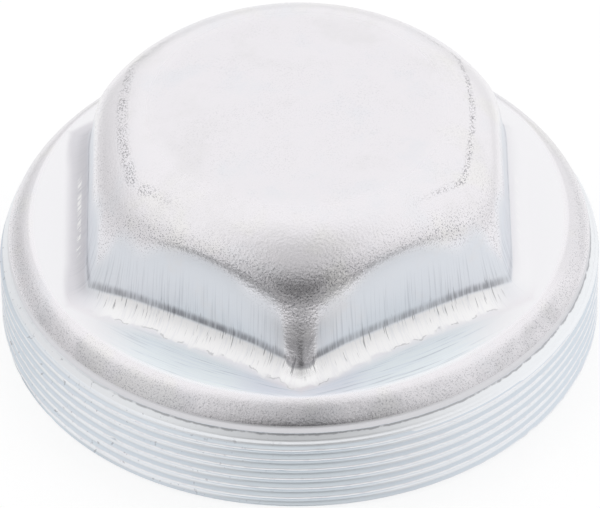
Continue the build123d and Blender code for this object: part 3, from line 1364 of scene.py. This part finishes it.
class TurnedFinish(PlatedFinish):
    """The turned skin of thread, neck and rim: thin crests with a painted highlight, blue grey flanks, and a
    broken line of painted shade in the corner at the neck's foot. In front the flanks get painted light and
    the roots painted shade.

    Ramps and bands are given as for the drawn marks: in shares of the groove's depth, in millimetres along an
    axis or in levels of noise.
    """

    FLANK = (0.05, 0.2, 0.7, 0.95)
    FLANK_SHARE = 0.6
    FLANK_BLUE = (0.66, 0.735, 0.8)
    COOL_GROOVE = (0.02, 0.2)
    # Painted highlight on the crests and painted light in the roots
    CREST = (0.1, 0.0, 0.0, 0.8)
    ROOT = (0.7, 1.0, 0.0, 0.8)
    HIGHLIGHT_PALE = (0.94, 0.955, 0.975)

    # In front, painted light on the flanks and painted shade in the roots
    FRONT = (0.0, -20.0)
    FRONT_SIDE = (17.0, 3.0)
    FRONT_TOP = (13.4, 12.8)
    FRONT_FLANK = (0.05, 0.2)
    FRONT_ROOT = (0.93, 1.0)
    FRONT_FLANK_LIGHT = (0.82, 0.88, 0.93)
    FRONT_ROOT_SHADE = (0.68, 0.735, 0.785)

    CHIPS = (10.0, -30.0)
    CHIP_NOISE = (1.2, 2.0)
    CHIP_LEVELS = (0.66, 0.72, 0.0, 0.4)
    CHIP = (0.25, 0.25, 0.28)

    NECK = (15.1, 15.3)
    NECK_GREY = (0.74, 0.735, 0.76)
    # Painted shade along the corner at the neck's foot
    NECK_LINE = (14.75, 14.95, 15.05, 15.25)
    NECK_BROKEN = (0.3, 0.5, 0.2, 0.6)
    NECK_FADE = (-38.0, -22.0, 0.15, 1.0)
    NECK_SHADE = (0.2, 0.2, 0.22)

    WANDER = (0.6, 3.0)
    GROOVE_SWAY = 0.45
    NECK_SWAY = 0.5

    def surface(self, ground: Ground) -> tuple[Socket, Socket, Value]:
        """The turned skin, its marks laid on as coats.

        Args:
            ground: What the finish starts from.

        Returns:
            Base colour, height and roughness.
        """
        graph, way = ground.graph, ground.graph.parts(ground.place)
        groove, wander = graph.mask(Mask.GROOVE), graph.noise(ground.place, *self.WANDER)
        worn = graph.total(groove, graph.swing(wander, self.GROOVE_SWAY))
        front = graph.product(
            graph.ramp(graph.math("ABSOLUTE", way["X"]), *self.FRONT_SIDE),
            graph.ramp(way["Y"], *self.FRONT),
            graph.ramp(way["Z"], *self.FRONT_TOP),
        )
        chips = graph.ramp(graph.noise(ground.place, *self.CHIP_NOISE), *self.CHIP_LEVELS)
        level = graph.total(way["Z"], graph.swing(wander, self.NECK_SWAY))
        broken_shade = graph.product(graph.ramp(wander, *self.NECK_BROKEN), graph.ramp(way["X"], *self.NECK_FADE))

        colour = graph.coated(
            ground.tint(graph.ramp(worn, *self.COOL_GROOVE)),
            (graph.product(graph.band(groove, *self.FLANK), self.FLANK_SHARE), self.FLANK_BLUE),
            # Painted highlight on the crests and painted light in the roots
            (graph.largest(graph.ramp(worn, *self.CREST), graph.ramp(groove, *self.ROOT)), self.HIGHLIGHT_PALE),
            # Painted light on the front flanks
            (graph.product(graph.ramp(groove, *self.FRONT_FLANK), front), self.FRONT_FLANK_LIGHT),
            # Painted shade in the front roots
            (graph.product(graph.ramp(groove, *self.FRONT_ROOT), front), self.FRONT_ROOT_SHADE),
            (graph.product(chips, graph.ramp(way["X"], *self.CHIPS)), self.CHIP),
            (graph.ramp(way["Z"], *self.NECK), self.NECK_GREY),
            # Painted shade in the corner at the neck's foot
            (graph.product(graph.band(level, *self.NECK_LINE), broken_shade), self.NECK_SHADE),
        )
        return colour, self.relief(ground), self.roughness


DRAWN_PLATE = DrawnFinish("drawn_zinc_plate", 0.42, 0.045, (3.2, 3.2, 0.07), 0.012)
TURNED_PLATE = TurnedFinish("turned_zinc_plate", 0.4, 0.004, (0.12, 0.12, 6.0), 0.006)
HOLLOW_PLATE = PlatedFinish("hollow_zinc_plate", 0.45, 0.012, (1.2, 1.2, 0.08), 0.01)


@dataclass
class Studio:
    """Pale floor, soft surrounding light and the camera. Lengths are millimetres and angles degrees, and the
    light's spans and widths are parts of the way that it comes from."""

    elevation: float = 41.116
    roll: float = -0.825
    distance: float = 1187.5
    look_at: tuple[float, float, float] = (0.134, 0.0, 11.491)
    focal_pixels: float = 7403.0
    image_width: float = 600.0
    sensor: float = 36.0
    floor_side: float = 8000.0
    floor_shade: float = 0.3
    floor_glow: float = 0.75
    floor_front_dim: float = 0.5
    floor_front: tuple[float, float] = (65.0, 150.0)
    floor_spread: float = 0.35
    floor_far_dim: float = 0.12
    floor_far: tuple[float, float] = (90.0, 200.0)
    floor_left_dim: float = 0.1
    floor_left: tuple[float, float] = (50.0, 110.0)
    left_dim: float = 0.26
    left_aside: tuple[float, float] = (-0.2, -0.8)
    left_height: tuple[float, float] = (0.7, 0.1)
    left_depth: tuple[float, float] = (-0.6, -0.1)
    front_dim: float = 0.41
    front_depth: tuple[float, float] = (0.1, -0.75)
    front_width: float = 0.85
    low_dim: float = 0.46
    low_depth: tuple[float, float] = (0.0, -0.5)
    low_width: float = 1.25
    low_rise: float = 0.14
    low_height: float = 0.55

    def camera(self) -> None:
        """The camera: it looks along +Y and down by the elevation, turned by the roll about its own axis."""
        rise, turn = math.radians(self.elevation), math.radians(self.roll)
        back = Vector((0.0, -math.cos(rise), math.sin(rise)))
        right = Vector((1.0, 0.0, 0.0))
        up = back.cross(right)
        across = math.cos(turn) * right + math.sin(turn) * up
        upward = -math.sin(turn) * right + math.cos(turn) * up
        data = bpy.data.cameras.new("camera")
        data.sensor_fit = "HORIZONTAL"
        data.sensor_width = self.sensor
        data.lens = self.focal_pixels / self.image_width * self.sensor
        view = bpy.data.objects.new("camera", data)
        pose = Matrix((across, upward, back)).transposed().to_4x4()
        pose.translation = (Vector(self.look_at) + back * self.distance) * MM
        view.matrix_world = pose
        bpy.context.scene.collection.objects.link(view)
        bpy.context.scene.camera = view

    def floor(self) -> None:
        """A square floor: a soft glow to the eye and in the metal, and a matt shade that keeps the shadow.

        The glow fades by the way in front of the cap, less a share of the way aside, and a little by the way
        from the axis and by the way to the left.
        """
        half = self.floor_side / 2 * MM
        corners = [(-half, -half, 0.0), (half, -half, 0.0), (half, half, 0.0), (-half, half, 0.0)]
        mesh = bpy.data.meshes.new("floor")
        mesh.from_pydata(corners, [], [(0, 1, 2, 3)])
        floor = bpy.data.objects.new("floor", mesh)
        bpy.context.scene.collection.objects.link(floor)
        paper = bpy.data.materials.new("floor_paper")
        paper.use_nodes = True
        graph = Graph(paper.node_tree)
        path = graph.add("LightPath").outputs
        seen = graph.largest(path["Is Camera Ray"], path["Is Glossy Ray"], path["Is Transmission Ray"])
        place = graph.place()
        way = graph.parts(place)
        aside = graph.product(graph.math("ABSOLUTE", way["X"]), self.floor_spread)
        ahead = graph.math("SUBTRACT", graph.product(way["Y"], -1.0), aside)
        away = graph.add("VectorMath", {0: place}, operation="LENGTH").outputs["Value"]
        level = graph.dimmed(
            self.floor_glow,
            (graph.ramp(ahead, *self.floor_front), self.floor_front_dim),
            (graph.ramp(away, *self.floor_far), self.floor_far_dim),
            (graph.ramp(graph.product(way["X"], -1.0), *self.floor_left), self.floor_left_dim),
        )
        glow = graph.add("Emission", {"Strength": graph.product(seen, level)})
        shade = self.floor_shade
        matt = graph.add("BsdfDiffuse", {"Color": (shade, shade, shade, 1.0)})
        both = graph.add("AddShader", {0: glow.outputs[0], 1: matt.outputs[0]})
        graph.add("OutputMaterial", {"Surface": both.outputs[0]})
        mesh.materials.append(paper)

    def surroundings(self) -> None:
        """Soft light from all round: full from behind and above, less from in front, least low in front of
        the cap, and a little less low on the left.

        Each dim part is a product of smooth ramps of the way's parts, taken off a level of 1.
        """
        world = bpy.data.worlds.new("studio")
        world.use_nodes = True
        graph = Graph(world.node_tree)
        way = graph.parts(graph.add("TexCoord").outputs["Generated"])
        aside = graph.math("ABSOLUTE", way["X"])
        off_level = graph.math("ABSOLUTE", graph.math("SUBTRACT", way["Z"], self.low_rise))
        front = graph.product(
            graph.ramp(way["Y"], *self.front_depth),
            graph.ramp(aside, self.front_width, 0.0),
        )
        low = graph.product(
            graph.ramp(way["Y"], *self.low_depth),
            graph.ramp(aside, self.low_width, 0.0),
            graph.ramp(off_level, self.low_height, 0.0),
        )
        left = graph.product(
            graph.ramp(way["X"], *self.left_aside),
            graph.ramp(way["Z"], *self.left_height),
            graph.ramp(way["Y"], *self.left_depth),
        )
        level = graph.dimmed(1.0, (front, self.front_dim), (low, self.low_dim), (left, self.left_dim))
        sky = graph.add("Background", {"Color": (1.0, 1.0, 1.0, 1.0), "Strength": level})
        graph.add("OutputWorld", {"Surface": sky.outputs[0]})
        bpy.context.scene.world = world

    def build(self) -> None:
        """Sets the whole studio."""
        self.camera()
        self.floor()
        self.surroundings()
        bpy.context.scene.view_settings.view_transform = "Standard"


def main() -> None:
    """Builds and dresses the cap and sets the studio."""
    logging.basicConfig(level=logging.INFO)
    low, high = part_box(NODE)
    cap = GreaseCap(overall_height=high.z / MM, thread_radius=(high.x - low.x) / 2 / MM)
    shell = cap.build()
    cap.dress(shell)
    log.info("%s: %d vertices, %d faces", shell.name, len(shell.data.vertices), len(shell.data.polygons))
    Studio().build()
    log.info("studio: camera, floor and surroundings")


if __name__ == "__main__":
    main()
